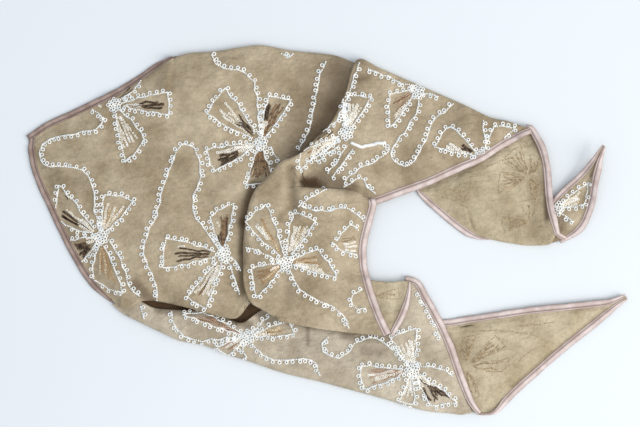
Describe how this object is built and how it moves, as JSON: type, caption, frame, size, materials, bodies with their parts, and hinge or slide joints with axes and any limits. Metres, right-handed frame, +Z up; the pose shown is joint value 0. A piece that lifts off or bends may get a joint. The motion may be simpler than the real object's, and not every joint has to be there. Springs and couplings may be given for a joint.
{
  "type": "headscarf",
  "caption": "Triangular cloth headscarf with a bound edge and beaded, sequinned flowers, folded and laid flat with both tails to one side; worn over the hair or at the neck.",
  "frame": {"origin": "centre of the laid scarf's bounding box, on the surface that it lies on", "axes": "+X towards the two tails, +Y across the folded scarf away from the viewer, +Z up from the surface"},
  "size_m": [0.6006, 0.369, 0.0256],
  "materials": {
    "cloth": "soft brushed nap, slight sheen",
    "cloth_wrong_side": "plain matt back of the cloth with faint stitches",
    "binding": "smooth satin bias tape"
  },
  "bodies": {
    "root": {"body": "cloth", "front_fold": "cloth", "upper_tail": "cloth", "upper_tail_tip": "cloth", "lower_tail": "cloth", "hidden_layers": "cloth", "pleat_floor": "cloth", "upper_tail_turn": "cloth_wrong_side", "pleat_return": "cloth_wrong_side", "lower_tail_tip": "cloth_wrong_side", "binding_back_upper": "binding", "binding_back_lower": "binding", "binding_front_upper": "binding", "binding_front_middle": "binding", "binding_lower_front": "binding", "binding_pleat": "binding", "binding_turn_inner": "binding", "binding_turn_outer": "binding", "binding_tip_inner": "binding", "binding_tip_outer": "binding", "binding_lower_tip_upper": "binding", "binding_lower_tip_outer": "binding"}
  },
  "joints": []
}
